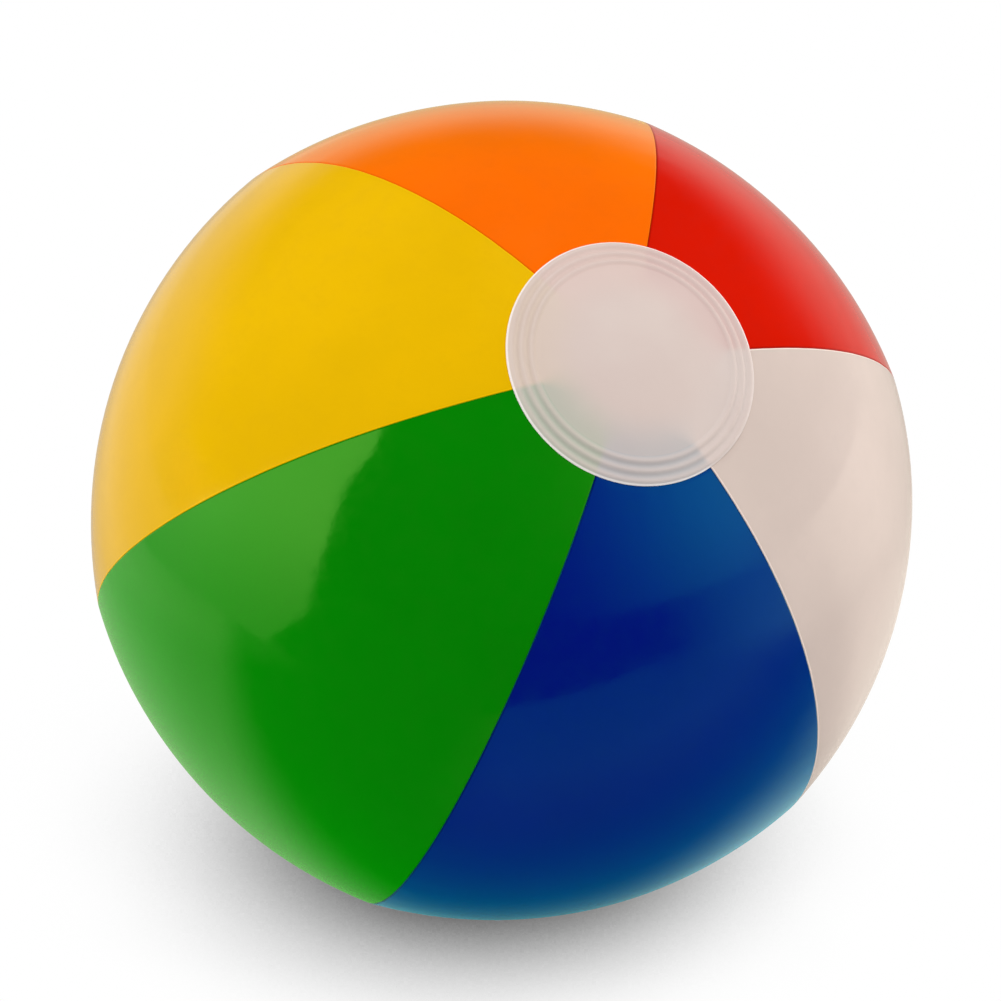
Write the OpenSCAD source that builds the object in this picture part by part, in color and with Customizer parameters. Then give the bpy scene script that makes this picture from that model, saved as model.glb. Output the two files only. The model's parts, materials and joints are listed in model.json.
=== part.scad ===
// Inflatable beach ball: six welded film panels, two pole caps and a push-in valve.
// The ball stands on its flattened spot at the origin, +Z up, with its poles on a leaning axis.

/* [Ball] */
// Inflated diameter over the middles of the panels
ball_d = 260; // [220:5:400]
// How far past the ball's centre each panel's cross curve is centred
gore_offset = 14.5; // [4:0.5:24]
// Thickness of the panel film
film_t = 0.3; // [0.25:0.05:0.6]
// Width of the welded seam allowance, turned to the inside
fin_w = 4; // [2:0.5:8]
// Lean of the pole axis from upright
pole_tilt = 45; // [35:1:55]
// Diameter of the spot that the ball's weight flattens
patch_d = 36; // [30:1:60]

/* [Pole caps] */
// Diameter of each pole cap
cap_d = 75; // [60:1:100]
// Thickness of the cap film
cap_t = 0.4; // [0.3:0.05:0.8]
// Width of the band in which a cap is welded to the panels
cap_weld_w = 8.5; // [6:0.5:12]
// Depth that the weld sinks a cap into the panels
cap_sink = 0.05; // [0.04:0.01:0.08]
// Height of the weld ribs over the cap film
cap_rib_h = 0.5; // [0.2:0.05:0.8]
// How far the front cap is welded off the pole
front_cap_shift = 4; // [0:0.5:8]
// Longitude towards which the front cap is off the pole
front_cap_lon = 22; // [0:1:359]

/* [Valve] */
// Angle from the rear pole to the valve, along the middle of its panel
valve_from_pole = 45; // [38:1:60]
// Diameter of the valve flange
flange_d = 34; // [30:1:44]
// Thickness of the valve flange
flange_t = 0.8; // [0.5:0.1:1.5]
// Diameter of the hole in the panel
port_d = 20; // [20:0.5:24]
// Wall of the folding cuff
cuff_t = 0.5; // [0.4:0.1:0.8]
// Length of the stem
stem_len = 15; // [12:0.5:20]
// Bore of the stem
bore_d = 6.4; // [5:0.1:7]
// Wall of the stem
stem_wall = 1; // [0.8:0.1:1.4]
// Height of the stem's mouth over the skin when it is pushed in
mouth_h = 0.8; // [0.6:0.1:2]
// Depth of the plug in the mouth
plug_depth = 3.2; // [2:0.1:4]
// Thickness of the plug's head
head_t = 1.6; // [1.2:0.1:2.4]
// Width of the strap, its hinge ear and the pull tab
strap_w = 3.4; // [2.5:0.1:5]
// Thickness of the strap
strap_t = 0.8; // [0.6:0.1:1]
// Distance from the stem's axis to the strap's hinge
hinge_off = 8; // [7.5:0.1:8.4]
// Thickness of the check flap
flap_t = 0.3; // [0.2:0.05:0.5]

/* [Hidden] */
$fn = 180;

// Ball: longitudes run round the pole axis, and each panel spans one gore step
gores = 6;
gore_step = 360 / gores;
half_step = gore_step / 2;
red_lon = half_step;
orange_lon = red_lon + gore_step;
yellow_lon = orange_lon + gore_step;
green_lon = yellow_lon + gore_step;
blue_lon = green_lon + gore_step;
white_lon = blue_lon + gore_step;
ball_r = ball_d / 2;
patch_r = patch_d / 2;
centre_h = sqrt(ball_r ^ 2 - patch_r ^ 2);
seam_r = sqrt((ball_r + gore_offset) ^ 2 - (gore_offset * sin(half_step)) ^ 2)
    - gore_offset * cos(half_step);
barrel_half = seam_r * sin(half_step) + fin_w;
film_in_r = ball_r - film_t;
reach = ball_d;

// Caps: a film of even thickness with round weld ribs in its outer band
cap_r = cap_d / 2;
cap_hole_r = cap_r - cap_weld_w;
cap_in_r = ball_r - cap_sink;
cap_out_r = cap_in_r + cap_t;
cap_ribs = 3;
rib_pitch = cap_weld_w / cap_ribs;
rib_r = rib_pitch / 4;
rib_centre_r = cap_out_r + cap_rib_h - rib_r;
front_cap_lean = asin(front_cap_shift / ball_r);

// Valve: heights are over the skin, along the valve's own axis
valve_lon = orange_lon;
port_r = port_d / 2;
port_step = 0.5;
flange_bore_r = port_r - port_step;
port_drop = ball_r - sqrt(ball_r ^ 2 - port_r ^ 2);
cuff_top = -(film_t + port_drop);
cuff_shoulder = cuff_top - flange_t;
bore_r = bore_d / 2;
stem_r = bore_r + stem_wall;
stem_end = mouth_h - stem_len;
root_rise = 1.6;
root_t = 1.2;
root_w = 1.3;
root_bottom = stem_end + root_rise;
root_top = root_bottom + root_t;
root_r = stem_r + root_w;
mouth_step = 0.45;
mouth_r = bore_r + mouth_step;
mouth_room = 0.3;
mouth_depth = plug_depth + mouth_room;
rim_w = 1.35;
head_r = mouth_r + rim_w;
collar_below = 0.5;
collar_h = mouth_depth + collar_below;
collar_flare = head_r - stem_r;
plug_gap = 0.2;
shank_r = mouth_r - plug_gap;
nose_taper = 0.65;
nose_r = shank_r - nose_taper;
hollow_r = 1.8;
hollow_floor = 0.8;
hinge_gap = 0.05;
hinge_h = mouth_h + hinge_gap + strap_t / 2;
ear_t = 1.2;
ear_over = 0.6;
tab_l = 2.2;
tab_h = mouth_h + (head_t - strap_t) / 2;
flap_lap = 0.5;
flap_r = bore_r + flap_lap;
flap_gap = 0.05;
flap_w = 3;
flap_tongue = 0.2;
flap_hinge_x = flap_r + flap_tongue;
flap_mid = stem_end - flap_gap - flap_t / 2;
lug_x = flap_hinge_x + flap_t / 2 + flap_gap;
lug_t = 0.8;
lug_drop = 2 * flap_gap + flap_t;
lug_grip = 1;

cream = [0.87, 0.80, 0.76];
red = [0.88, 0.10, 0.02];
orange = [1.00, 0.43, 0.02];
yellow = [0.92, 0.75, 0.02];
green = [0.02, 0.53, 0.02];
blue = [0.01, 0.20, 0.46];
clear_film = [0.86, 0.82, 0.79];
clear_vinyl = [0.80, 0.80, 0.78];

// Frames
module in_ball() {
    translate([0, 0, centre_h]) rotate([pole_tilt, 0, 0]) children();
}

module in_panel(lon) {
    in_ball() rotate([0, 0, lon]) children();
}

module in_front_cap() {
    in_panel(front_cap_lon) rotate([0, front_cap_lean, 0]) children();
}

module in_rear_cap() {
    in_ball() rotate([180, 0, 0]) children();
}

module in_valve() {
    in_panel(valve_lon) rotate([0, 180 - valve_from_pole, 0]) translate([0, 0, ball_r])
        rotate([0, 0, 180]) children();
}

// A panel's bulge, solid: a round arc turned about the panel's cross axis
module barrel(r) {
    rotate([90, 0, 0]) rotate_extrude() intersection() {
        translate([-gore_offset, 0]) circle(r = r + gore_offset);
        translate([0, -barrel_half]) square([reach, 2 * barrel_half]);
    }
}

// The wedge between two neighbouring seams, with its faces moved in
module sector(inset) {
    linear_extrude(height = 2 * reach, center = true)
        translate([inset / sin(half_step), 0])
        polygon([
            [0, 0],
            [reach * cos(half_step), -reach * sin(half_step)],
            [reach * cos(half_step), reach * sin(half_step)]
        ]);
}

module above_floor(h) {
    translate([-reach, -reach, h]) cube(2 * reach);
}

module gore_body(lon, r, inset) {
    intersection() {
        in_panel(lon) intersection() {
            barrel(r);
            sector(inset);
        }
        above_floor(ball_r - r);
    }
}

// What a cap takes out of the panels: the hole at the pole and the sunk weld band
module cap_seat() {
    translate([0, 0, ball_r / 2]) cylinder(r = cap_hole_r, h = ball_r);
    difference() {
        translate([0, 0, ball_r / 2]) cylinder(r = cap_r, h = ball_r);
        sphere(r = cap_in_r);
    }
}

// Film with a fin of seam allowance along both seams
module panel(lon) {
    difference() {
        gore_body(lon, ball_r, 0);
        gore_body(lon, film_in_r, film_t);
        gore_body(lon, film_in_r - fin_w, -film_t);
        in_front_cap() cap_seat();
        in_rear_cap() cap_seat();
    }
}

module panel_white() {
    color(cream) panel(white_lon);
}

module panel_red() {
    color(red) panel(red_lon);
}

module panel_orange() {
    color(orange) difference() {
        panel(orange_lon);
        in_valve() cylinder(r = port_r, h = port_r, center = true);
    }
}

module panel_yellow() {
    color(yellow) panel(yellow_lon);
}

module panel_green() {
    color(green) panel(green_lon);
}

module panel_blue() {
    color(blue) panel(blue_lon);
}

module cap() {
    rotate_extrude() intersection() {
        difference() {
            union() {
                circle(r = cap_out_r);
                for (i = [0 : cap_ribs - 1])
                    rotate(-asin((cap_r - rib_r - i * rib_pitch) / rib_centre_r))
                        translate([0, rib_centre_r]) circle(r = rib_r);
            }
            circle(r = cap_in_r);
        }
        square([cap_r, reach]);
    }
}

module front_cap() {
    color(clear_film) in_front_cap() cap();
}

module rear_cap() {
    color(clear_film) in_rear_cap() cap();
}

module valve_flange() {
    color(clear_vinyl) difference() {
        intersection() {
            in_panel(valve_lon) barrel(film_in_r);
            in_valve() cylinder(d = flange_d, h = flange_d, center = true);
        }
        in_panel(valve_lon) barrel(film_in_r - flange_t);
        in_valve() cylinder(r = flange_bore_r, h = flange_d, center = true);
    }
}

// Thin skirt that the stem hangs in; it turns inside out when the stem is pulled
module valve_cuff() {
    top_in = flange_bore_r - cuff_t;
    root_out = root_r + cuff_t;
    color(clear_vinyl) in_valve() rotate_extrude() polygon([
        [flange_bore_r, cuff_top],
        [flange_bore_r, cuff_shoulder],
        [root_out, root_top],
        [root_out, root_bottom],
        [root_r, root_bottom],
        [root_r, root_top],
        [top_in, cuff_shoulder],
        [top_in, cuff_top]
    ]);
}

module stem_outside() {
    translate([0, 0, stem_end]) cylinder(r = stem_r, h = stem_len);
    translate([0, 0, mouth_h - collar_h]) cylinder(r = head_r, h = collar_h);
    translate([0, 0, mouth_h - collar_h - collar_flare])
        cylinder(r1 = stem_r, r2 = head_r, h = collar_flare);
    translate([0, 0, root_bottom]) cylinder(r = root_r, h = root_t);
    translate([0, -strap_w / 2, mouth_h - ear_t]) cube([hinge_off + ear_over, strap_w, ear_t]);
    translate([lug_x, -flap_w / 2, stem_end - lug_drop]) cube([lug_t, flap_w, lug_drop + lug_grip]);
}

module valve_stem() {
    color(clear_vinyl) in_valve() difference() {
        stem_outside();
        translate([0, 0, stem_end - lug_drop]) cylinder(r = bore_r, h = stem_len + 2 * lug_drop);
        translate([0, 0, mouth_h - mouth_depth]) cylinder(r = mouth_r, h = 2 * mouth_depth);
    }
}

// Tongue from the hinge on the stem's ear to the plug's head
module valve_strap() {
    color(clear_vinyl) in_valve() difference() {
        union() {
            translate([hinge_off, 0, hinge_h]) rotate([90, 0, 0])
                cylinder(d = strap_t, h = strap_w, center = true);
            translate([0, -strap_w / 2, hinge_h - strap_t / 2]) cube([hinge_off, strap_w, strap_t]);
        }
        translate([0, 0, mouth_h - head_t]) cylinder(r = head_r, h = 3 * head_t);
    }
}

module valve_plug() {
    color(clear_vinyl) in_valve() difference() {
        union() {
            translate([0, 0, mouth_h]) cylinder(r = head_r, h = head_t);
            translate([0, 0, mouth_h - plug_depth])
                cylinder(r1 = nose_r, r2 = shank_r, h = plug_depth);
            translate([-head_r - tab_l, -strap_w / 2, tab_h])
                cube([head_r + tab_l, strap_w, strap_t]);
        }
        translate([0, 0, mouth_h - plug_depth + hollow_floor])
            cylinder(r = hollow_r, h = plug_depth + head_t);
    }
}

module check_flap() {
    color(clear_vinyl) in_valve() translate([0, 0, flap_mid]) {
        cylinder(r = flap_r, h = flap_t, center = true);
        translate([0, -flap_w / 2, -flap_t / 2]) cube([flap_hinge_x, flap_w, flap_t]);
        translate([flap_hinge_x, 0, 0]) rotate([90, 0, 0])
            cylinder(d = flap_t, h = flap_w, center = true);
    }
}

panel_white();
panel_red();
panel_orange();
panel_yellow();
panel_green();
panel_blue();
front_cap();
rear_cap();
valve_flange();
valve_cuff();
valve_stem();
valve_strap();
valve_plug();
check_flap();
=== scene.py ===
"""Inflatable beach ball: the looks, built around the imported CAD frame. Lengths are in metres."""

import json
import math

import bmesh
import bpy
import numpy as np
from mathutils import Matrix, Vector


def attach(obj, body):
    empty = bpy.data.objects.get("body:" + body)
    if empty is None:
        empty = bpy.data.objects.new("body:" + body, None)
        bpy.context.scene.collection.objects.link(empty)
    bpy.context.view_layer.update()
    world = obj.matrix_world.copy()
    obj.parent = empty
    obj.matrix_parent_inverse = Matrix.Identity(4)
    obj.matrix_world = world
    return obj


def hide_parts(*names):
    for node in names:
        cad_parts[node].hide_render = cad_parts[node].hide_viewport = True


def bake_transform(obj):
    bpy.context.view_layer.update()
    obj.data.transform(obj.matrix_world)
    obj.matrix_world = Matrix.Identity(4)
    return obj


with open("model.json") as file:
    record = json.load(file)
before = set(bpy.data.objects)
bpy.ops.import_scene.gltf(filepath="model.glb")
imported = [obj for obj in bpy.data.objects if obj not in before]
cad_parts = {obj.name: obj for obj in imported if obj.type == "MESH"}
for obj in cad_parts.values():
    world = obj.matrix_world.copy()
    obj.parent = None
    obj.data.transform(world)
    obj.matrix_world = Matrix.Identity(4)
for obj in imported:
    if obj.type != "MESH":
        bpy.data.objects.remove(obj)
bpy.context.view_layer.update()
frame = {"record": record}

MM = 0.001

# Ball, as in the CAD model
BALL_R = 130 * MM
GORE_OFFSET = 14.5 * MM
FILM_T = 0.3 * MM
FIN_W = 4 * MM
POLE_TILT = math.radians(45)
MOUNTS = {m["name"]: m for m in frame["record"]["mounts"]}
BORE_POS = MOUNTS["inflation_bore"]["pos_m"]
CENTRE = np.array([0, 0, BORE_POS[2]])

# Panels in order of longitude. The seams of a real ball wander a degree or two off their even
# spacing, and bend a little near the front pole.
GORE_STEP = math.radians(60)
PANELS = ("red", "orange", "yellow", "green", "blue", "white")
VALVE_PANEL = "orange"
SEAM_DRIFT = np.radians([0.5, -0.8, -2.3, -0.6, -1.6, -2.0])
SEAM_BEND = np.radians([-0.9, 1.9, 0, 1.2, 1.1, 0])
BEND_COLAT = math.radians(20)

FILM_COLOURS = {
    "white": (0.67, 0.55, 0.49),
    "red": (0.62, 0.008, 0.001),
    "orange": (0.95, 0.13, 0.001),
    "yellow": (0.79, 0.455, 0.001),
    "green": (0.001, 0.225, 0.001),
    "blue": (0.001, 0.003, 0.205),
}
# How strongly each film mirrors: the deep colours most
FILM_GLOSS = {"white": 0.5, "red": 0.5, "orange": 0.5, "yellow": 0.5, "green": 1, "blue": 1}
# Tint of what a film mirrors, except at a grazing view
FILM_TINTS = {
    "white": (1, 0.95, 0.9),
    "red": (0.3, 0.05, 0.02),
    "orange": (0.3, 0.6, 0.02),
    "yellow": (0.05, 0.05, 0.01),
    "green": (0.42, 1, 0.2),
    "blue": (0.02, 1, 1),
}
# Painted highlight (above 1) or painted shade (below 1) on the film's folded edge along the seams:
# its brightness against the film's own
SEAM_EDGE_LIGHT_AND_SHADE = {
    "white": 1.45, "red": 0.75, "orange": 0.95, "yellow": 1.15, "green": 0.85, "blue": 0.6,
}
# Light that comes through the deep-coloured film brightens it towards its edges: weight,
# roughness, tint
NO_SHEEN = (0, 0.5, (1, 1, 1))
FILM_SHEEN = {
    "orange": (0.3, 0.5, (0.4, 0.7, 0)),
    "green": (0.52, 0.5, (0, 1, 0)),
    "blue": (0.47, 0.4, (0, 0.86, 1)),
}
VINYL_IOR = 1.5

# Pole caps, as in the CAD model
CAP_R = 37.5 * MM
CAP_T = 0.4 * MM
CAP_WELD_W = 8.5 * MM
CAP_SINK = 0.05 * MM
CAP_RIBS = 3
CAP_RIB_H = 0.5 * MM
FRONT_CAP_SHIFT = 4 * MM
FRONT_CAP_LEAN = math.asin(FRONT_CAP_SHIFT / BALL_R)
FRONT_CAP_LON = math.radians(22)

# Valve, as in the CAD model
PORT_R = 10 * MM
FLANGE_R = 17 * MM
FLANGE_T = 0.8 * MM
FLANGE_BORE_R = 9.5 * MM
VALVE_COLAT = math.radians(135)
VALVE_LON = math.radians(90)
WELD_RING_RADII = (12 * MM, 13.8 * MM, 15.6 * MM)
WELD_RING_W = 0.45 * MM
WELD_RING_DEPTH = 0.14 * MM

# Camera
VIEW_AZIMUTH = -22.3
VIEW_ELEVATION = 28
VIEW_DISTANCE = 7 * BALL_R
VIEW_LENS = 102.0
VIEW_SHIFT = (-0.0016, 0.0097)

# Unevenness of the film: height of its slow waves, then height, wavelength and reach of the
# puckers along the seams and of the pleats round the caps
SWELL_H = 0.06 * MM
PUCKER_H, PUCKER_WAVE, PUCKER_REACH = 0.035 * MM, 0.011, 0.006
PLEAT_H, PLEAT_WAVE, PLEAT_REACH = 0.025 * MM, 0.009, 0.007


# ---------------------------------------------------------------- frames and curves

def rotation_x(angle):
    """3x3 turn about X."""
    return np.array(Matrix.Rotation(angle, 3, "X"))


def to_world(points):
    """Points of the ball's own frame, poles on Z, in the row frame."""
    return points @ rotation_x(POLE_TILT).T + CENTRE


def direction(lon, colat):
    """Unit vector of the ball's own frame."""
    return np.stack([np.sin(colat) * np.cos(lon), np.sin(colat) * np.sin(lon), np.cos(colat)], -1)


FRONT_CAP_AXIS = direction(FRONT_CAP_LON, FRONT_CAP_LEAN)
REAR_CAP_AXIS = np.array([0, 0, -1.0])


def skin_radius(across):
    """Distance from the ball's centre to the outside of a panel, where the direction's part
    across the panel is given: a round arc turned about the panel's cross axis."""
    k = GORE_OFFSET / BALL_R
    return BALL_R * (np.sqrt((1 + k) ** 2 - (k * across) ** 2) - k * np.sqrt(1 - across ** 2))


def smooth(low, high, x):
    """Smooth step from 0 at low to 1 at high."""
    t = np.clip((x - low) / (high - low), 0, 1)
    return t * t * (3 - 2 * t)


def ripple(x, wavelength, phase):
    """Uneven wave of about the given wavelength, between -1 and 1."""
    turn = 2 * math.pi / wavelength
    wave = np.sin(turn * x + phase) + 0.7 * np.sin(0.61 * turn * x + 2.3 * phase + 1)
    return (wave + 0.5 * np.sin(1.43 * turn * x + 3.1 * phase + 2)) / 2.2


def swell(points):
    """Slow, shallow waves of the film over the whole ball, in metres."""
    x, y, z = (points[..., i] for i in range(3))
    wave = ripple(x + 0.6 * y, 0.083, 0.4) + ripple(y - 0.5 * z, 0.067, 1.9)
    return SWELL_H * (wave + ripple(z + 0.4 * x, 0.074, 3.1))


# ---------------------------------------------------------------- meshes

def make_object(name, vertices, faces, material):
    """Smooth-shaded mesh object."""
    mesh = bpy.data.meshes.new(name)
    mesh.from_pydata(np.asarray(vertices).reshape(-1, 3).tolist(), [], faces)
    mesh.validate()
    mesh.shade_smooth()
    made = bpy.data.objects.new(name, mesh)
    bpy.context.scene.collection.objects.link(made)
    made.data.materials.append(material)
    return made


def grid_faces(rows, cols, start=0, flip=False, closed=False):
    """Quads of a grid of rows x cols vertices, and closed joins the last column to the first."""
    r = np.arange(rows - 1)[:, None]
    c = np.arange(cols if closed else cols - 1)[None, :]
    after = (c + 1) % cols
    here, below = r * cols, (r + 1) * cols
    quads = np.stack([here + c, here + after, below + after, below + c], -1)
    quads = quads.reshape(-1, 4) + start
    return (quads[:, ::-1] if flip else quads).tolist()


def shell_faces(rows, cols):
    """Faces of a closed sheet: an outer grid, an inner grid behind it, and the four edges."""
    count = rows * cols
    faces = grid_faces(rows, cols) + grid_faces(rows, cols, count, flip=True)
    grid = np.arange(count).reshape(rows, cols)
    edge = np.concatenate([grid[0, :], grid[1:, -1], grid[-1, -2::-1], grid[-2:0:-1, 0]])
    after = np.roll(edge, -1)
    return faces + np.stack([edge, edge + count, after + count, after], -1).tolist()


def ring_points(angle, start, sideways):
    """Unit circle through start and sideways, at the given angles."""
    angle = np.asarray(angle)[:, None]
    return np.cos(angle) * start + np.sin(angle) * sideways


def cone_points(lean, axis, ring):
    """Unit vectors that lean from the axis towards each point of a unit circle round it."""
    lean = np.asarray(lean)[:, None, None]
    return np.cos(lean) * axis + np.sin(lean) * ring


def loop_faces(rows, cols):
    """Faces of a grid that closes on itself both ways."""
    last = (rows - 1) * cols
    after = [(i + 1) % cols for i in range(cols)]
    return grid_faces(rows, cols, closed=True) + [
        [last + i, last + after[i], after[i], i] for i in range(cols)]


def add_attribute(made, name, values):
    """Float attribute on the vertices, which the materials read."""
    attribute = made.data.attributes.new(name, "FLOAT", "POINT")
    attribute.data.foreach_set("value", np.asarray(values, np.float32).ravel())


def spread(count, centre, width, extra):
    """count numbers from 0 to 1, closer together around centre."""
    x = np.linspace(0, 1, 2001)
    density = 1 + extra * np.exp(-((x - centre) / width) ** 4)
    total = np.concatenate([[0], np.cumsum((density[1:] + density[:-1]) / 2)])
    return np.interp(np.linspace(0, 1, count), total / total[-1], x)


# ---------------------------------------------------------------- panels

# Radius of the fold where the film turns in at a seam, and the slit between two panels
FOLD_R = 0.4 * MM
SEAM_GAP = 0.01 * MM
# Rows and columns of the panels' mesh: the fold, the film beside it, the fin, the caps' bands
FOLD_STEPS = 7
SEAM_STEPS = np.array([0.3, 0.7, 1.2, 1.9, 2.8, 4.0, 5.6, 7.6, 10]) * MM
FIN_STEPS = np.array([1, 0.55, 0.2]) * FIN_W
CAP_BAND_ROWS = 8
# Width over which a cap's rim presses the film down
CAP_STEP = 0.5 * MM
# How far under the ball's round the film lies there, a little deeper than the cap's underside
FILM_PRESS = 1.4 * CAP_SINK
# Mesh columns and rows of a panel, and how much closer they lie round the valve
PLAIN_MESH = (26, 0, 210, 0)
VALVE_MESH = (66, 4, 360, 4)
VALVE_ROW_SHARE, VALVE_ROW_SPAN = 0.76, 0.09
# Distance over which the seam's shade fades, and softness of the resting spot's edge
SEAM_FADE = 1.6 * MM
REST_EDGE = 0.25 * MM


def across_profile(inner_count, centre_extra):
    """What lies across a panel, from the start seam's fin to the end seam's: side (-1, 0 or 1),
    distance from that seam, depth under the skin, and how far the film has turned inwards."""
    turn = np.linspace(math.pi / 2, 0, FOLD_STEPS)
    fold = [(FOLD_R * (1 - math.sin(a)) + SEAM_GAP, FOLD_R * (1 - math.cos(a)), a) for a in turn]
    fin = [(SEAM_GAP, FOLD_R + depth, math.pi / 2) for depth in FIN_STEPS]
    flat = [(FOLD_R + SEAM_GAP + d, 0, 0) for d in SEAM_STEPS]
    half = fin + fold + flat
    share = spread(inner_count + 2, 0.5, 0.2, centre_extra)[1:-1]
    start = [(-1, d, depth, a) for d, depth, a in half]
    end = [(1, d, depth, a) for d, depth, a in reversed(half)]
    middle = [(0, s, 0, 0) for s in share]
    return np.array(start + middle + end).T, half[-1][0]


def seam_lon(number, colat):
    """Longitude of the seam where that panel starts, down the ball."""
    seam = number % len(PANELS)
    return number * GORE_STEP + SEAM_DRIFT[seam] + SEAM_BEND[seam] * np.exp(1 - colat / BEND_COLAT)


def cap_colat(lon, axis, radius):
    """Colatitude on the given longitude of the circle of that radius round a cap's axis."""
    across = axis[0] * np.cos(lon) + axis[1] * np.sin(lon)
    reach = np.hypot(axis[2], across)
    opening = math.sqrt(1 - (radius / BALL_R) ** 2)
    lean, spreading = np.arctan2(across, abs(axis[2])), np.arccos(opening / reach)
    return lean + spreading


def panel_rows(lon, row_share):
    """Colatitudes down a panel on the given longitudes: the front cap's band, the panel's
    open part and the rear cap's band."""
    radii = (CAP_R - CAP_WELD_W, CAP_R, CAP_R + CAP_STEP)
    front = [cap_colat(lon, FRONT_CAP_AXIS, r) for r in radii]
    rear = [math.pi - cap_colat(lon, REAR_CAP_AXIS, r) for r in reversed(radii)]
    band = np.linspace(0, 1, CAP_BAND_ROWS, endpoint=False)
    rows = [front[0] + (front[1] - front[0]) * s for s in band]
    rows += [front[1] + (front[2] - front[1]) * s for s in (0, 0.5)]
    rows += [front[2] + (rear[0] - front[2]) * s for s in row_share]
    rows += [rear[0] + (rear[1] - rear[0]) * s for s in (0.5, 1)]
    rows += [rear[1] + (rear[2] - rear[1]) * (1 - s) for s in band[::-1]]
    return np.stack(rows)


def puckers(seam_distance, colat, phase):
    """Ripples that run out from a seam, in metres."""
    along = colat * BALL_R
    return PUCKER_H * ripple(along, PUCKER_WAVE, phase) * np.exp(-seam_distance / PUCKER_REACH)


def cap_distance(unit):
    """Distance over the skin from each cap's rim, to the nearer one."""
    front = np.arccos(np.clip(unit @ FRONT_CAP_AXIS, -1, 1)) * BALL_R - CAP_R
    rear = np.arccos(np.clip(unit @ REAR_CAP_AXIS, -1, 1)) * BALL_R - CAP_R
    return np.minimum(front, rear)


def pleats(unit, lon):
    """Short pleats that run out from the caps' rims, in metres."""
    away = np.maximum(cap_distance(unit), 0)
    return PLEAT_H * ripple(lon * CAP_R, PLEAT_WAVE, 0.7) * np.exp(-away / PLEAT_REACH)


def valve_distance(points):
    """Distance from the valve's axis, for points of the ball's frame."""
    axis = direction(VALVE_LON, VALVE_COLAT)
    along = points @ axis
    return np.where(along > 0, np.linalg.norm(points - along[..., None] * axis, axis=-1), BALL_R)


def weld_rings(points):
    """Rings that the valve's weld presses into the film, in metres."""
    away = valve_distance(points)
    depth = np.zeros_like(away)
    for ring_r in WELD_RING_RADII:
        depth += np.exp(-((away - ring_r) / WELD_RING_W) ** 2)
    return -WELD_RING_DEPTH * depth


def rest_on_floor(points, height):
    """Flattens what is lower than height, with a soft edge."""
    below = points[..., 2] - height
    points[..., 2] = height + (below + np.sqrt(below ** 2 + REST_EDGE ** 2)) / 2
    return points


def make_panel(index, material):
    """One welded film panel: its skin, folded in at both seams, with the seams' fins inside."""
    name = PANELS[index]
    has_valve = name == VALVE_PANEL
    columns, column_extra, rows, row_extra = VALVE_MESH if has_valve else PLAIN_MESH
    (side, place, depth, turn), reach = across_profile(columns, column_extra)
    share = spread(rows, VALVE_ROW_SHARE, VALVE_ROW_SPAN, row_extra)[1:-1]
    lon = np.full((1, len(side)), (index + 0.5) * GORE_STEP)
    # The rows' places depend on the longitudes and the other way round, so a few rounds settle both
    for _ in range(6):
        colat = panel_rows(lon.mean(0), share)
        radius = BALL_R * np.sin(colat)
        ends = [seam_lon(i, colat) for i in (index, index + 1)]
        start, end = ends[0] + reach / radius, ends[1] - reach / radius
        lon = np.where(side < 0, ends[0] + place / radius, start + (end - start) * place)
        lon = np.where(side > 0, ends[1] - place / radius, lon)
    share_across = (lon - ends[0]) / (ends[1] - ends[0])
    across = np.sin(colat) * np.sin(share_across * GORE_STEP - GORE_STEP / 2)
    unit = direction(lon, colat)
    from_start, from_end = (lon - ends[0]) * radius, (ends[1] - lon) * radius
    skin = skin_radius(across) + swell(unit * BALL_R)
    skin += puckers(from_start, colat, index) + puckers(from_end, colat, (index + 1) % len(PANELS))
    skin += pleats(unit, lon)
    if has_valve:
        skin += weld_rings(unit * BALL_R)
    sunk = smooth(CAP_STEP, 0, cap_distance(unit))
    skin += (BALL_R - FILM_PRESS - skin) * sunk
    sideways = np.stack([-np.sin(lon), np.cos(lon), np.zeros_like(lon)], -1) * side[:, None]
    normal = np.cos(turn)[:, None] * unit + np.sin(turn)[:, None] * sideways
    outer = unit * (skin - depth)[..., None]
    inner = outer - FILM_T * normal
    outer = rest_on_floor(to_world(outer), 0)
    inner = rest_on_floor(to_world(inner), FILM_T)
    rows, cols = lon.shape
    vertices = np.concatenate([outer.reshape(-1, 3), inner.reshape(-1, 3)])
    faces = [f[::-1] for f in shell_faces(rows, cols)]
    made = make_object(name + "_panel", vertices, faces, material)
    # Nearness to the nearer seam, which the film material uses to paint shade and highlight along
    # the seams
    seam = np.exp(-np.minimum(from_start, from_end) / SEAM_FADE)
    add_attribute(made, "seam", np.concatenate([seam.ravel(), seam.ravel()]))
    if has_valve:
        cut_port(made)
    return made


def cut_port(made):
    """Cuts the valve's round hole."""
    bpy.ops.mesh.primitive_cylinder_add(vertices=128, radius=PORT_R, depth=4 * PORT_R)
    cutter = bpy.context.object
    cutter.matrix_world = Matrix.Translation(BORE_POS) @ Matrix.Rotation(math.pi / 2, 4, "X")
    apply_boolean(made, cutter, "DIFFERENCE")
    made.data.set_sharp_from_angle(angle=math.radians(60))


def apply_boolean(made, tool, operation):
    """Applies a boolean of made with tool, and removes the tool."""
    modifier = made.modifiers.new("cut", "BOOLEAN")
    modifier.operation = operation
    modifier.solver = "MANIFOLD"
    modifier.object = tool
    bpy.context.view_layer.update()
    evaluated = made.evaluated_get(bpy.context.evaluated_depsgraph_get())
    result = bpy.data.meshes.new_from_object(evaluated)
    made.modifiers.clear()
    made.data = result
    bpy.data.objects.remove(tool)
    made.data.shade_smooth()


# ---------------------------------------------------------------- caps

CAP_SECTORS = 288
CAP_RIM_R = 0.3 * MM
CAP_FLAT_ROWS, CAP_WELD_ROWS, CAP_RIM_ROWS = 24, 61, 6
CAP_MIDDLE_R = 0.5 * MM
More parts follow.
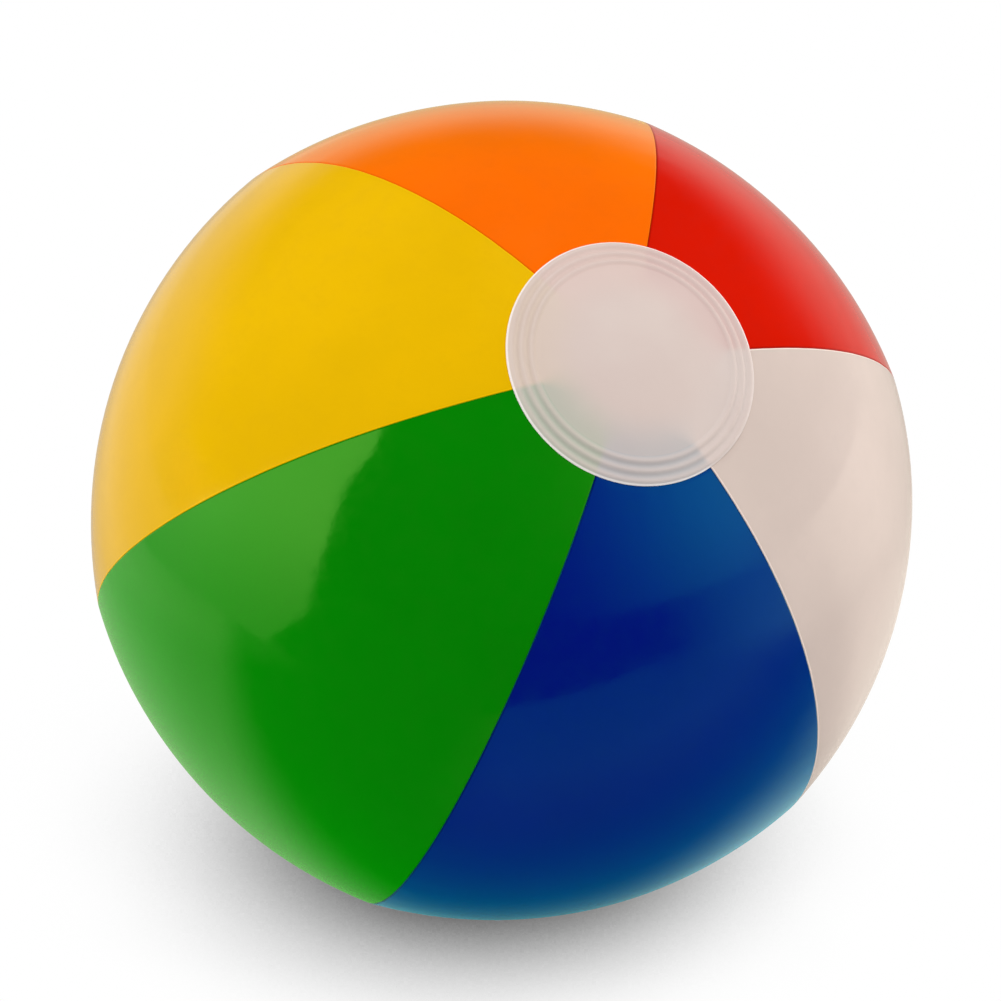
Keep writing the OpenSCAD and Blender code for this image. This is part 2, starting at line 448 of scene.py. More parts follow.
# What the milky film adds to a colour under it, and how strongly the colour shows: in the
# grooves of the weld, how much less on its ribs, inside the weld, and how much less for red
MILKY_VEIL = (0.01, 0.12, 0.17)
WELD_SHOWS, RIB_HIDES, FILM_SHOWS, RED_HIDES = 0.32, 0.16, 0.24, 0.8
# Film colours that look otherwise through the caps: the blue is lighter by what it mirrors
UNDER_COLOURS = {"blue": (0.07, 0.17, 0.24)}
# Share of the painted highlight along the rim that is lost over the white panel
RIM_HIGHLIGHT_LOST_ON_WHITE = 0.85


def cap_height(away):
    """Height of a cap's outside over its film, by distance from its axis: round weld ribs."""
    pitch = CAP_WELD_W / CAP_RIBS
    phase = (CAP_R - away) / pitch
    rib = np.sin(math.pi * phase) ** 2
    return CAP_RIB_H * np.where((phase > 0) & (phase < CAP_RIBS), rib, 0)


def make_cap(name, axis, material):
    """Milky round cap over a pole, with its ribbed weld band."""
    flat = np.linspace(CAP_MIDDLE_R, CAP_R - CAP_WELD_W, CAP_FLAT_ROWS)
    band = np.linspace(CAP_R - CAP_WELD_W, CAP_R - CAP_RIM_R, CAP_WELD_ROWS)[1:]
    away = np.concatenate([flat, band])
    low, high = BALL_R - CAP_SINK, BALL_R - CAP_SINK + CAP_T
    top = [(r, high + cap_height(r)) for r in away]
    edge_h = top[-1][1] - low
    turn = np.linspace(0, math.pi / 2, CAP_RIM_ROWS)[1:]
    rim = [(away[-1] + CAP_RIM_R * math.sin(a), low + edge_h * math.cos(a)) for a in turn]
    bottom = [(r, low) for r in away[::-1]]
    profile = np.array(top + rim + bottom)
    sector = np.linspace(0, 2 * math.pi, CAP_SECTORS, endpoint=False)
    z = Vector(axis)
    x = z.orthogonal().normalized()
    ring = ring_points(sector, np.array(x), np.array(z.cross(x)))
    unit = cone_points(profile[:, 0] / BALL_R, np.array(z), ring)
    points = unit * profile[:, 1][:, None, None]
    rows = len(profile)
    poles = np.array([np.array(z) * profile[0, 1], np.array(z) * profile[-1, 1]])
    vertices = np.concatenate([points.reshape(-1, 3), poles])
    faces = grid_faces(rows, CAP_SECTORS, closed=True)
    last = (rows - 1) * CAP_SECTORS
    for i in range(CAP_SECTORS):
        after = (i + 1) % CAP_SECTORS
        faces.append([rows * CAP_SECTORS, after, i])
        faces.append([rows * CAP_SECTORS + 1, last + i, last + after])
    made = make_object(name, to_world(vertices), [f[::-1] for f in faces], material)
    away = np.append(np.repeat(profile[:, 0], CAP_SECTORS), [0, 0])
    show_through(made, vertices / np.linalg.norm(vertices, axis=1)[:, None], away)
    return made


def show_through(made, unit, away):
    """Attributes of a cap. "under" is the colour of the panels' ends that shows through its milky
    film, with the strength in the alpha: crisp in the thin grooves of the weld, and faded out
    towards the middle. "rim" marks where a painted highlight lies along the edge, fainter over the
    white panel."""
    lon, colat = np.arctan2(unit[:, 1], unit[:, 0]), np.arccos(np.clip(unit[:, 2], -1, 1))
    inner = CAP_R - CAP_WELD_W
    # The ends' edges are crisp at the weld and blurred under the flat film
    blur = 1 * MM + 7 * MM * smooth(inner + 2 * MM, inner - 8 * MM, away)
    colour, total = np.zeros((len(away), 3)), np.zeros(len(away))
    for i, name in enumerate(PANELS):
        start, end = seam_lon(i, colat), seam_lon(i + 1, colat)
        middle, half = (start + end) / 2, (end - start) / 2
        off = np.abs((lon - middle + math.pi) % (2 * math.pi) - math.pi)
        share = smooth(-1, 1, (half - off) * np.maximum(away, 1 * MM) / blur)
        colour += share[:, None] * np.array(UNDER_COLOURS.get(name, FILM_COLOURS[name]))
        total += share
    rib = cap_height(away) / CAP_RIB_H
    film = FILM_SHOWS * smooth(inner - 14 * MM, inner, away)
    strength = np.where(away > inner, WELD_SHOWS - RIB_HIDES * rib, film)
    colour /= np.maximum(total, 1e-6)[:, None]
    values = np.column_stack([colour + MILKY_VEIL, strength * (1 - RED_HIDES * colour[:, 0])])
    attribute = made.data.attributes.new("under", "FLOAT_COLOR", "POINT")
    attribute.data.foreach_set("color", values.astype(np.float32).ravel())
    over_white = colour.min(1) / min(FILM_COLOURS["white"])
    # Mask of the painted highlight along the cap's edge
    rim = smooth(CAP_R - 0.8 * MM, CAP_R - 0.4 * MM, away)
    add_attribute(made, "rim", rim * (1 - RIM_HIGHLIGHT_LOST_ON_WHITE * over_white))


# ---------------------------------------------------------------- valve
# Outlines of the valve's pieces are in millimetres: radius, height over the skin along the
# valve's axis, and the radius of the rounded corner.

SHARP_ANGLE = math.radians(50)
FLANGE_GAP = 0.02 * MM
CUFF_TOP, CUFF_SHOULDER, CUFF_T, CUFF_R = -0.69, -1.49, 0.5, 9.5
ROOT_TOP, ROOT_BOTTOM, ROOT_R = -11.4, -12.6, 5.5
MOUTH, STEM_END, STEM_R, BORE_R = 0.8, -14.2, 4.2, 3.2
MOUTH_R, MOUTH_FLOOR = 3.65, -2.7
COLLAR_R, COLLAR_BOTTOM, COLLAR_FOOT = 5.0, -3.2, -4.0
HEAD_TOP, PLUG_NOSE, PLUG_WALL = 2.4, -2.4, 0.8
PLUG_R, NOSE_R, HOLLOW_R = 3.45, 2.8, 1.8
HINGE_AT, STRAP_W = 8.0, 3.4
FLAP_TOP, FLAP_BOTTOM, FLAP_R, FLAP_LUG_W = -14.25, -14.55, 3.7, 3
# Radius of the pin-prick left at the middle of the turned discs
MIDDLE = 0.02
CORNER_STEPS = 6
TURNED_SECTORS = 96
FLANGE_ROWS, FLANGE_SECTORS = 16, 128


def fillet(corners):
    """Closed outline with rounded corners. Each corner is (x, y, radius)."""
    points = []
    for i, (x, y, radius) in enumerate(corners):
        here = Vector((x, y))
        before = Vector(corners[i - 1][:2]) - here
        after = Vector(corners[(i + 1) % len(corners)][:2]) - here
        if radius <= 0:
            points.append((x, y))
            continue
        half = before.angle(after) / 2
        cut = min(radius / math.tan(half), 0.49 * before.length, 0.49 * after.length)
        first, last = here + before.normalized() * cut, here + after.normalized() * cut
        for s in np.linspace(0, 1, CORNER_STEPS):
            points.append(tuple((1 - s) ** 2 * first + 2 * s * (1 - s) * here + s ** 2 * last))
    return points


def valve_place(points):
    """Points (upwards, sideways, height over the skin) of the valve, in the row frame."""
    skin_y = CENTRE[1] + BALL_R
    return np.stack([points[..., 1], skin_y + points[..., 2], CENTRE[2] + points[..., 0]], -1)


def turned(name, corners, material):
    """Ring turned about the valve's axis from an outline of (radius, height, corner radius)."""
    outline = np.array(fillet(corners)) * MM
    angle = np.linspace(0, 2 * math.pi, TURNED_SECTORS, endpoint=False)
    up = outline[:, 0][:, None] * np.cos(angle)
    sideways = outline[:, 0][:, None] * np.sin(angle)
    height = np.repeat(outline[:, 1][:, None], TURNED_SECTORS, 1)
    points = valve_place(np.stack([up, sideways, height], -1))
    faces = loop_faces(len(outline), TURNED_SECTORS)
    return oriented(make_object(name, points, faces, material))


def oriented(made):
    """Turns the faces outwards."""
    work = bmesh.new()
    work.from_mesh(made.data)
    bmesh.ops.remove_doubles(work, verts=work.verts, dist=1e-7)
    bmesh.ops.recalc_face_normals(work, faces=work.faces)
    work.to_mesh(made.data)
    work.free()
    made.data.set_sharp_from_angle(angle=SHARP_ANGLE)
    return made


def bar(name, corners, width, material, rounding=0.25):
    """Straight bar: an outline of (upwards, height, corner radius), drawn out sideways."""
    outline = np.array(fillet(corners))
    middle = outline.mean(0)
    half = width / 2
    rows = []
    ends = ((rounding, -half), (0, rounding - half), (0, half - rounding), (rounding, half))
    towards = outline - middle
    for inset, y in ends:
        shrink = 1 - inset / np.maximum(np.abs(towards).max(0), 1e-6)
        placed = middle + towards * shrink
        rows.append([(x, y, z) for x, z in placed])
    points = np.array(rows)
    count = len(outline)
    faces = grid_faces(4, count, closed=True)
    faces.append(list(range(count))[::-1])
    faces.append([3 * count + i for i in range(count)])
    return oriented(make_object(name, valve_place(points * MM), faces, material))


def joined(name, parts):
    """Union of the parts, as one mesh under the given name."""
    whole = parts[0]
    for part in parts[1:]:
        apply_boolean(whole, part, "UNION")
    whole.name = name
    whole.data.set_sharp_from_angle(angle=SHARP_ANGLE)
    return whole


def make_flange(material):
    """Round flange under the panel, which follows the panel's curve."""
    axis = Vector(direction(VALVE_LON, VALVE_COLAT))
    away = np.linspace(FLANGE_BORE_R, FLANGE_R, FLANGE_ROWS)
    angle = np.linspace(0, 2 * math.pi, FLANGE_SECTORS, endpoint=False)
    along = np.array(Vector((0, 0, 1)) - axis * axis.z)
    along /= np.linalg.norm(along)
    sideways = np.cross(np.array(axis), along)
    ring = ring_points(angle, along, sideways)
    unit = cone_points(np.arcsin(away / BALL_R), np.array(axis), ring)
    film = skin_radius(unit @ sideways)[..., None]
    top = unit * (film - FILM_T - FLANGE_GAP)
    bottom = unit * (film - FILM_T - FLANGE_T)
    loop = np.concatenate([top, bottom[::-1]])
    faces = loop_faces(len(loop), len(angle))
    return oriented(make_object("flange_ring", to_world(loop), faces, material))


def make_cuff(material):
    """Thin folded skirt that the stem hangs in."""
    outside, inside = ROOT_R + CUFF_T, CUFF_R - CUFF_T
    return turned("cuff_skirt", [
        (CUFF_R, CUFF_TOP, 0.1), (CUFF_R, CUFF_SHOULDER, 0.4),
        (outside, ROOT_TOP, 0.6), (outside, ROOT_BOTTOM, 0.15),
        (ROOT_R, ROOT_BOTTOM, 0.05), (ROOT_R, ROOT_TOP, 0.4),
        (inside, CUFF_SHOULDER, 0.4), (inside, CUFF_TOP, 0.1),
    ], material)


def make_stem(material):
    """Stem with its collar, mouth, root flange, hinge ear and flap lug."""
    tube = turned("stem_tube", [
        (MOUTH_R, MOUTH, 0.3), (COLLAR_R, MOUTH, 0.35), (COLLAR_R, COLLAR_BOTTOM, 0.2),
        (STEM_R, COLLAR_FOOT, 0.2), (STEM_R, ROOT_TOP, 0.3), (ROOT_R, ROOT_TOP, 0.15),
        (ROOT_R, ROOT_BOTTOM, 0.15), (STEM_R, ROOT_BOTTOM, 0.2), (STEM_R, STEM_END, 0.25),
        (BORE_R, STEM_END, 0.2), (BORE_R, MOUTH_FLOOR, 0.1), (MOUTH_R, MOUTH_FLOOR, 0.1),
    ], material)
    ear_root, ear_end, ear_under = 4.4, 8.6, -0.4
    ear = bar("stem_ear", [
        (ear_root, MOUTH, 0), (ear_end, MOUTH, 0.3),
        (ear_end, ear_under, 0.3), (ear_root, ear_under, 0),
    ], STRAP_W, material)
    lug_root, lug_end, lug_top, lug_under = 4.1, 4.9, -13.2, -14.6
    lug = bar("stem_lug", [
        (lug_root, lug_top, 0), (lug_end, lug_top, 0.2),
        (lug_end, lug_under, 0.2), (lug_root, lug_under, 0.1),
    ], FLAP_LUG_W, material)
    return joined("stem", [tube, ear, lug])


def make_plug(material):
    """Plug with a hollow shank, a round head and a pull tab."""
    body = turned("plug_body", [
        (COLLAR_R, MOUTH, 0.3), (COLLAR_R, HEAD_TOP, 0.5), (HOLLOW_R, HEAD_TOP, 0.25),
        (HOLLOW_R, PLUG_NOSE + PLUG_WALL, 0.2), (MIDDLE, PLUG_NOSE + PLUG_WALL, 0),
        (MIDDLE, PLUG_NOSE, 0), (NOSE_R, PLUG_NOSE, 0.4), (PLUG_R, MOUTH, 0),
    ], material)
    tab_root, tab_end, tab_top, tab_under = -4.4, -7.2, 2.0, 1.2
    tab = bar("plug_tab", [
        (tab_root, tab_top, 0), (tab_end, tab_top, 0.3),
        (tab_end, tab_under, 0.3), (tab_root, tab_under, 0),
    ], STRAP_W, material)
    return joined("plug", [body, tab])


def make_strap(material):
    """Tongue between the plug's head and its hinge on the stem's ear."""
    low, high, root, eye_r = 0.85, 1.65, 4.85, 0.4
    end, rounding = HINGE_AT + eye_r, eye_r - 0.01
    return bar("strap", [
        (root, low, 0), (end, low, rounding), (end, high, rounding), (root, high, 0),
    ], STRAP_W, material)


def make_flap(material):
    """Check flap over the stem's inner end."""
    disc = turned("flap_disc", [
        (MIDDLE, FLAP_TOP, 0), (FLAP_R, FLAP_TOP, 0.08),
        (FLAP_R, FLAP_BOTTOM, 0.08), (MIDDLE, FLAP_BOTTOM, 0),
    ], material)
    root, end = 3.0, 4.05
    tongue = bar("flap_tongue", [
        (root, FLAP_TOP, 0), (end, FLAP_TOP, 0.14),
        (end, FLAP_BOTTOM, 0.14), (root, FLAP_BOTTOM, 0),
    ], FLAP_LUG_W, material, rounding=0.08)
    return joined("flap", [disc, tongue])


# ---------------------------------------------------------------- materials

class Nodes:
    """A material or world and short ways to add its nodes."""

    def __init__(self, owner):
        owner.use_nodes = True
        self.tree = owner.node_tree
        self.tree.nodes.clear()

    def add(self, kind, **settings):
        node = self.tree.nodes.new(kind)
        for key, value in settings.items():
            setattr(node, key, value)
        return node

    def link(self, source, target):
        self.tree.links.new(source, target)

    def feed(self, socket, value):
        """Sets a socket's number or colour, or links it to another socket."""
        if isinstance(value, bpy.types.NodeSocket):
            self.link(value, socket)
        else:
            socket.default_value = value

    def math(self, operation, *values):
        """Result of a sum, product, or the like of numbers and sockets."""
        node = self.add("ShaderNodeMath", operation=operation)
        for socket, value in zip(node.inputs, values):
            self.feed(socket, value)
        return node.outputs[0]

    def along(self, vector, azimuth, elevation=0):
        """How far a point or ray goes in a direction."""
        node = self.add("ShaderNodeVectorMath", operation="DOT_PRODUCT")
        self.feed(node.inputs[0], vector)
        self.feed(node.inputs[1], seen_from_centre(azimuth, elevation))
        return node.outputs["Value"]

    def noise(self, vector, scale, detail=2.0, roughness=0.5):
        """Noise between 0 and 1, with about that many waves per metre."""
        node = self.add("ShaderNodeTexNoise")
        self.feed(node.inputs["Vector"], vector)
        self.feed(node.inputs["Scale"], scale)
        self.feed(node.inputs["Detail"], detail)
        self.feed(node.inputs["Roughness"], roughness)
        return node.outputs["Fac"]

    def ramp(self, value, low, high, out_low=0.0, out_high=1.0):
        """Smooth step of the value, from out_low at low to out_high at high."""
        node = self.add("ShaderNodeMapRange", interpolation_type="SMOOTHSTEP")
        ends = {"From Min": low, "From Max": high, "To Min": out_low, "To Max": out_high}
        for key, number in {"Value": value, **ends}.items():
            self.feed(node.inputs[key], number)
        return node.outputs["Result"]

    def mix(self, share, a, b):
        """Colour between a, at share 0, and b, at share 1."""
        node = self.add("ShaderNodeMix", data_type="RGBA")
        self.feed(node.inputs[0], share)
        self.feed(node.inputs[6], a)
        self.feed(node.inputs[7], b)
        return node.outputs[2]

    def finish(self, shader, kind="Material"):
        """Links the shader to a new output."""
        out = self.add("ShaderNodeOutput" + kind)
        self.link(shader.outputs[0], out.inputs["Surface"])


def rgba(colour, alpha=1.0):
    return (*colour, alpha)


def scaled(colour, factor):
    return tuple(c * factor for c in colour)


def vinyl(n, tone, roughness):
    """Vinyl shader."""
    shader = n.add("ShaderNodeBsdfPrincipled")
    n.feed(shader.inputs["Base Color"], tone)
    n.feed(shader.inputs["Roughness"], roughness)
    n.feed(shader.inputs["IOR"], VINYL_IOR)
    return shader


def emboss(n, shader, height, strength, depth):
    """Fine relief of the surface, with its depth in metres."""
    bump = n.add("ShaderNodeBump")
    n.feed(bump.inputs["Strength"], strength)
    n.feed(bump.inputs["Distance"], depth)
    n.feed(bump.inputs["Height"], height)
    n.feed(shader.inputs["Normal"], bump.outputs["Normal"])


def film_material(name):
    """Glossy calendered vinyl film."""
    material = bpy.data.materials.new("vinyl_film_" + name)
    n = Nodes(material)
    place = n.add("ShaderNodeTexCoord").outputs["Object"]
    seam = n.add("ShaderNodeAttribute", attribute_name="seam").outputs["Fac"]
    clouds = n.noise(place, 24, 3)
    mottle = n.noise(place, 190, 4, 0.6)
    colour = FILM_COLOURS[name]
    tone = n.mix(n.ramp(clouds, 0.35, 0.65), rgba(scaled(colour, 0.97)), rgba(scaled(colour, 1.02)))
    tone = n.mix(n.ramp(mottle, 0.45, 0.75, 0, 0.25), tone, rgba(scaled(colour, 0.93)))
    # Painted shade: the film is darker towards the seams, where their grooves fall in shade
    tone = n.mix(n.math("MULTIPLY", seam, 0.35), tone, rgba(scaled(colour, 0.9)))
    # Painted highlight or painted shade on the folded edge right at the seams
    tone = n.mix(n.ramp(seam, 0.7, 0.8), tone, rgba(scaled(colour, SEAM_EDGE_LIGHT_AND_SHADE[name])))
    shader = vinyl(n, tone, n.ramp(mottle, 0.3, 0.7, 0.08, 0.14))
    n.feed(shader.inputs["Specular IOR Level"], FILM_GLOSS[name])
    n.feed(shader.inputs["Specular Tint"], rgba(FILM_TINTS[name]))
    sheen, spreading, tint = FILM_SHEEN.get(name, NO_SHEEN)
    n.feed(shader.inputs["Sheen Weight"], sheen)
    n.feed(shader.inputs["Sheen Roughness"], spreading)
    n.feed(shader.inputs["Sheen Tint"], rgba(tint))
    emboss(n, shader, n.noise(place, 420, 2), strength=0.25, depth=0.06 * MM)
    n.finish(shader)
    return material


CAP_TONES = (0.683, 0.555, 0.506), (0.7, 0.578, 0.525)
# Colour of the painted highlight along a cap's edge
CAP_RIM_HIGHLIGHT = (1.0, 0.93, 0.9)
VALVE_TONES = (0.66, 0.655, 0.63), (0.76, 0.755, 0.73)


def cap_material():
    """Milky clear vinyl, through which the panels' ends show faintly."""
    material = bpy.data.materials.new("milky_vinyl")
    n = Nodes(material)
    place = n.add("ShaderNodeTexCoord").outputs["Object"]
    under = n.add("ShaderNodeAttribute", attribute_name="under")
    rim = n.add("ShaderNodeAttribute", attribute_name="rim").outputs["Fac"]
    clouds = n.noise(place, 45, 3)
    tone = n.mix(n.ramp(clouds, 0.3, 0.7), rgba(CAP_TONES[0]), rgba(CAP_TONES[1]))
    tone = n.mix(under.outputs["Alpha"], tone, under.outputs["Color"])
    # Painted highlight: a pale line along the cap's edge, where the film's edge catches light
    tone = n.mix(n.math("MULTIPLY", rim, 0.85), tone, rgba(CAP_RIM_HIGHLIGHT))
    shader = vinyl(n, tone, n.ramp(clouds, 0.3, 0.7, 0.3, 0.38))
    emboss(n, shader, n.noise(place, 700, 3), strength=0.3, depth=0.1 * MM)
    n.finish(shader)
    return material


def valve_material():
    """Soft milky vinyl moulding."""
    material = bpy.data.materials.new("moulded_vinyl")
    n = Nodes(material)
    place = n.add("ShaderNodeTexCoord").outputs["Object"]
    clouds = n.noise(place, 350, 3)
    tone = n.mix(clouds, rgba(VALVE_TONES[0]), rgba(VALVE_TONES[1]))
    shader = vinyl(n, tone, n.ramp(clouds, 0.3, 0.7, 0.28, 0.4))
    n.feed(shader.inputs["Subsurface Weight"], 0.4)
    n.feed(shader.inputs["Subsurface Radius"], (1.0, 1.0, 0.9))
    n.feed(shader.inputs["Subsurface Scale"], 1.5 * MM)
    emboss(n, shader, n.noise(place, 2600, 2), strength=0.4, depth=0.04 * MM)
    n.finish(shader)
    return material


# ---------------------------------------------------------------- floor, world, lights, camera

FLOOR_HALF = 4.0
FLOOR_COLOUR = (0.8, 0.8, 0.8, 1)
# Direction that the floor's shadow is reckoned from
LIGHT_LEAN = (0.03, -0.32, 1)
WHITE, BLACK = (1, 1, 1, 1), (0, 0, 0, 1)
# Even light on the surfaces
ROOM_LIGHT = (0.79, 0.79, 0.79, 1)
# Tint of all that mirror rays see
ROOM_TINT = (1, 0.9, 0.78)
# Window, seen from the ball's centre: its outline's corners are (sideways, height) in metres
WINDOW_AZIMUTH = -98
WINDOW_DISTANCE = 0.45
WINDOW_OUTLINE = [
    (-0.18, 0.05), (0.05, 0.045), (0.17, 0.02), (0.27, 0.1), (0.3, 0.26), (0.315, 0.4),
    (0.355, 0.52), (0.375, 0.66), (0.28, 0.66), (0.16, 0.46), (0.02, 0.27), (-0.16, 0.08),
]


def straight_rays(n, path):
    """Rays that see the plain white background: the camera's, and those through clear pieces."""
    return n.math("MAXIMUM", path.outputs["Is Camera Ray"], path.outputs["Is Transmission Ray"])


def floor_shadow(n):
    """How white the floor is, with the ball's soft shadow."""
    leaning = n.add("ShaderNodeCombineXYZ")
    for socket, value in zip(leaning.inputs, LIGHT_LEAN):
        n.feed(socket, value)
    open_sky = n.add("ShaderNodeAmbientOcclusion", samples=16)
    n.feed(open_sky.inputs["Distance"], 1.0)
    n.link(leaning.outputs[0], open_sky.inputs["Normal"])
    return n.ramp(open_sky.outputs["AO"], 0.11, 0.69, 0.06, 1)


def floor_mirrored(n):
    """How bright mirror rays find the floor: bright behind the ball and far to its left and
    right, dim close in front of it, and dark in its shadow and past the sheet's front edge."""
    place = n.add("ShaderNodeTexCoord").outputs["Object"]
    away = n.add("ShaderNodeVectorMath", operation="LENGTH")
    n.link(place, away.inputs[0])
    away = away.outputs["Value"]
    forward, aside = n.along(place, VIEW_AZIMUTH), n.along(place, VIEW_AZIMUTH + 90)
    shadow = n.ramp(away, 0.0, 0.15, 0.25, 1.0)
    aslant = n.math("ADD", n.along(place, VIEW_AZIMUTH + 20), 0.015)
    behind = n.ramp(n.math("MINIMUM", forward, aslant), 0.09, 0.02, 0.0, 0.55)
    left = n.ramp(aside, -0.3, -0.45, 0.0, 0.2)
    front = n.math("MULTIPLY", n.ramp(aside, -0.08, 0.02, 0, 0.18), n.ramp(aside, 0.5, 0.25))
    front = n.math("MULTIPLY", front, n.ramp(forward, 0.12, 0.25))
    near_right = n.math("MULTIPLY", n.ramp(aside, 0.07, 0.17), n.ramp(forward, -0.05, 0.03))
    near_back = n.math("MULTIPLY", n.ramp(aside, 0.02, 0.2), n.ramp(away, 0.4, 0.2, 0, 0.6))
    right = n.math("SUBTRACT", n.math("ADD", near_back, 1), near_right)
    edge = n.ramp(n.along(place, VIEW_AZIMUTH - 12), 0.395, 0.415, 1.0, 0.0)
    near = n.math("MULTIPLY", n.math("ADD", n.math("MULTIPLY", behind, right), left), shadow)
    near = n.math("ADD", near, front)
    bearing = n.add("ShaderNodeVectorMath", operation="NORMALIZE")
    n.link(place, bearing.inputs[0])
    far_right = n.ramp(n.along(bearing.outputs["Vector"], 60), 0.7, 1.0, 0, 0.45)
    far_right = n.math("MULTIPLY", far_right, n.ramp(away, 0.35, 0.6))
    return n.math("ADD", n.math("MULTIPLY", near, edge), far_right)


def floor_material():
    """Pale sheet. The camera sees it white, with the ball's soft shadow."""
    material = bpy.data.materials.new("floor_sheet")
    n = Nodes(material)
    path = n.add("ShaderNodeLightPath")
    plain = n.add("ShaderNodeBsdfDiffuse")
    n.feed(plain.inputs["Color"], FLOOR_COLOUR)
    seen = n.add("ShaderNodeEmission")
    n.link(floor_shadow(n), seen.inputs["Strength"])
    mirrored = n.add("ShaderNodeEmission")
    n.feed(mirrored.inputs["Color"], rgba(ROOM_TINT))
    n.link(floor_mirrored(n), mirrored.inputs["Strength"])
    pick = n.add("ShaderNodeMixShader")
    n.link(path.outputs["Is Glossy Ray"], pick.inputs[0])
    n.link(plain.outputs[0], pick.inputs[1])
    n.link(mirrored.outputs[0], pick.inputs[2])
    show = n.add("ShaderNodeMixShader")
    n.link(straight_rays(n, path), show.inputs[0])
    n.link(pick.outputs[0], show.inputs[1])
    n.link(seen.outputs[0], show.inputs[2])
    n.finish(show)
    return material


def make_floor():
    """Square sheet that the ball rests on."""
    corners = [(-1, -1), (1, -1), (1, 1), (-1, 1)]
    vertices = [(x * FLOOR_HALF, y * FLOOR_HALF, 0) for x, y in corners]
    make_object("floor", vertices, [[0, 1, 2, 3]], floor_material())


def make_world():
    """White for the camera, even light for the surfaces. Mirror rays see a bright backdrop
    behind the ball, a glow in front of it on the right, and a dark room elsewhere."""
    world = bpy.data.worlds.new("studio")
    bpy.context.scene.world = world
    n = Nodes(world)
    path = n.add("ShaderNodeLightPath")
    ray = n.add("ShaderNodeTexCoord").outputs["Generated"]
    backdrop = n.math("MULTIPLY", n.ramp(n.along(ray, 0, 90), 0.12, 0.5, 0.62, 0.0),
                      n.ramp(n.along(ray, VIEW_AZIMUTH + 188), 0.25, 0.65))
    glow = n.math("POWER", n.math("MAXIMUM", n.along(ray, 50, 20), 0), 6)
    glow = n.math("MULTIPLY", glow, n.ramp(n.along(ray, 0), 0.35, 0.75))
    room = n.mix(n.math("ADD", backdrop, glow), BLACK, rgba(ROOM_TINT))
    level = n.mix(path.outputs["Is Glossy Ray"], ROOM_LIGHT, room)
    level = n.mix(straight_rays(n, path), level, WHITE)
    shade = n.add("ShaderNodeBackground")
    n.link(level, shade.inputs["Color"])
    n.finish(shade, "World")


def make_window():
    """Tall window on the left. Only mirror rays see it, brighter higher up and dim at its far
    side."""
    material = bpy.data.materials.new("window_light")
    n = Nodes(material)
    place = n.add("ShaderNodeTexCoord").outputs["Object"]
    level = n.math("MULTIPLY", n.ramp(n.along(place, 0, 90), 0.0, 0.33, 0.55, 1.75),
                   n.ramp(n.along(place, WINDOW_AZIMUTH + 90), -0.25, 0.0, 0.7, 1))
    light = n.add("ShaderNodeEmission")
    n.feed(light.inputs["Color"], rgba(ROOM_TINT))
    n.link(level, light.inputs["Strength"])
    n.finish(light)
    away = seen_from_centre(WINDOW_AZIMUTH, 0) * WINDOW_DISTANCE
    along = seen_from_centre(WINDOW_AZIMUTH + 90, 0)
    corners = [away + along * u + Vector((0, 0, z)) for u, z in WINDOW_OUTLINE]
    made = make_object("window", [tuple(c) for c in corners], [list(range(len(corners)))], material)
    made.visible_camera = False
    made.visible_diffuse = False
    made.visible_transmission = False
    made.visible_shadow = False


def make_lamp(name, azimuth, elevation, distance, size, power):
    """Rectangular soft lamp that faces the ball, placed as it is seen from the ball's centre.
    Glossy surfaces don't show it."""
    lamp = bpy.data.lights.new(name, "AREA")
    lamp.shape = "RECTANGLE"
    lamp.size, lamp.size_y = size
    lamp.energy = power
    made = bpy.data.objects.new(name, lamp)
    bpy.context.scene.collection.objects.link(made)
    away = seen_from_centre(azimuth, elevation)
    made.location = Vector(CENTRE) + away * distance
    made.rotation_mode = "QUATERNION"
    made.rotation_quaternion = away.to_track_quat("Z", "Y")
    made.visible_camera = False
    made.visible_glossy = False


def seen_from_centre(azimuth, elevation):
    """Unit vector for an azimuth in degrees, from -Y towards +X, and an elevation in degrees."""
    a, e = math.radians(azimuth), math.radians(elevation)
    return Vector((math.sin(a) * math.cos(e), -math.cos(a) * math.cos(e), math.sin(e)))


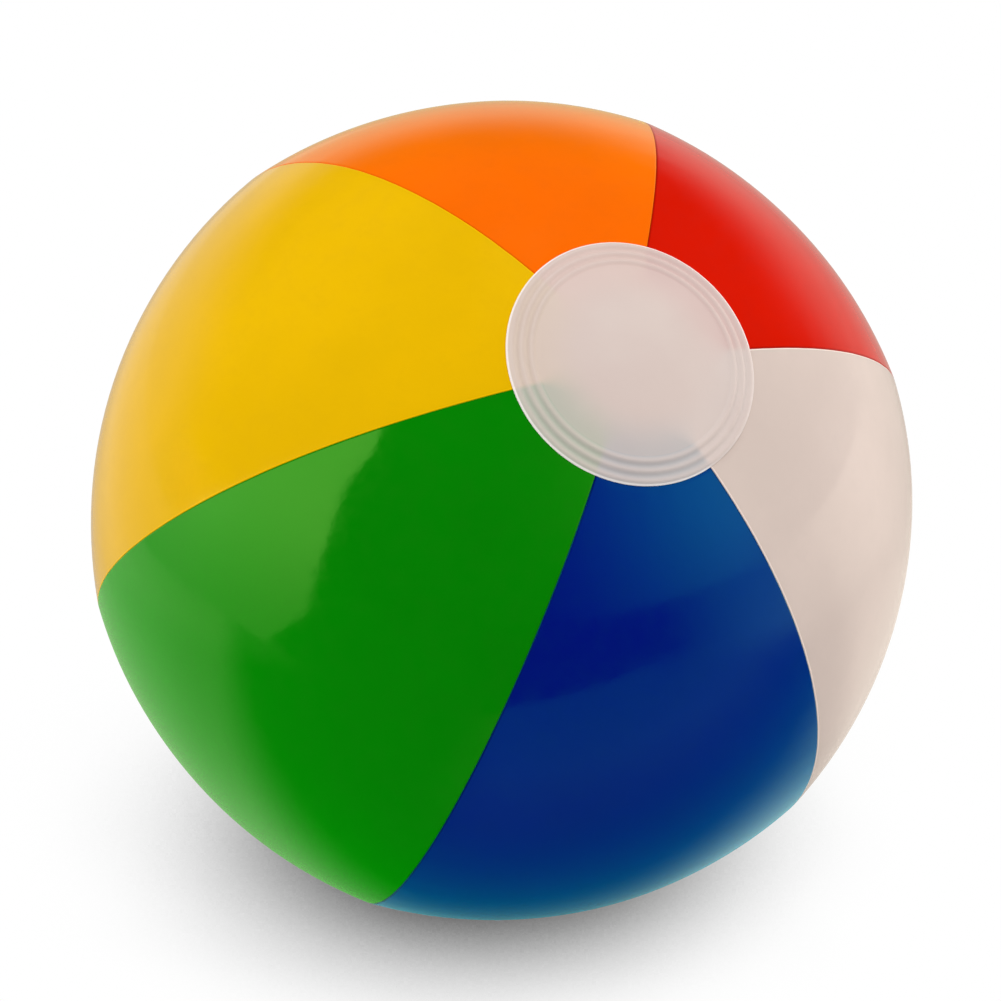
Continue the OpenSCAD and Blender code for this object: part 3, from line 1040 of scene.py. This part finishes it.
def make_camera():
    """Camera at the photograph's viewing angle, aimed at the ball's centre."""
    camera = bpy.data.cameras.new("camera")
    camera.lens = VIEW_LENS
    camera.shift_x, camera.shift_y = VIEW_SHIFT
    camera.clip_start, camera.clip_end = 0.01, 100
    made = bpy.data.objects.new("camera", camera)
    bpy.context.scene.collection.objects.link(made)
    back = seen_from_centre(VIEW_AZIMUTH, VIEW_ELEVATION)
    made.location = Vector(CENTRE) + back * VIEW_DISTANCE
    made.rotation_mode = "QUATERNION"
    made.rotation_quaternion = (-back).to_track_quat("-Z", "Y")
    bpy.context.scene.camera = made


# ---------------------------------------------------------------- building

def finish_piece(piece, node, body="ball"):
    """Hides the CAD part that the piece stands for and, if a body is given, attaches the piece to
    the body it moves with.
    """
    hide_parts(node)
    if body:
        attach(piece, body)


make_camera()
make_floor()
make_world()
make_lamp("overhead", azimuth=60, elevation=75, distance=1.4, size=(1.0, 1.0), power=7)
make_lamp("left_fill", azimuth=-110, elevation=6, distance=1.2, size=(0.7, 0.24), power=4.0)
make_lamp("right_fill", azimuth=95, elevation=2, distance=1.2, size=(0.7, 0.24), power=6.0)
make_window()
bpy.context.scene.view_settings.view_transform = "Standard"

for number, colour_name in enumerate(PANELS):
    panel = make_panel(number, film_material(colour_name))
    finish_piece(panel, "panel_" + colour_name)

milky = cap_material()
finish_piece(make_cap("front_pole_cap", FRONT_CAP_AXIS, milky), "front_cap")
finish_piece(make_cap("rear_pole_cap", REAR_CAP_AXIS, milky), "rear_cap")

moulded = valve_material()
finish_piece(make_flange(moulded), "valve_flange")
# On the real valve the cuff's rim stays with the ball and its root follows the stem; here the cuff
# is attached to no body, and its placement is baked into its mesh
cuff = make_cuff(moulded)
finish_piece(cuff, "valve_cuff", body=None)
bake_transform(cuff)
finish_piece(make_stem(moulded), "valve_stem", "stem")
finish_piece(make_plug(moulded), "valve_plug", "plug")
finish_piece(make_strap(moulded), "valve_strap", "plug")
finish_piece(make_flap(moulded), "check_flap", "flap")
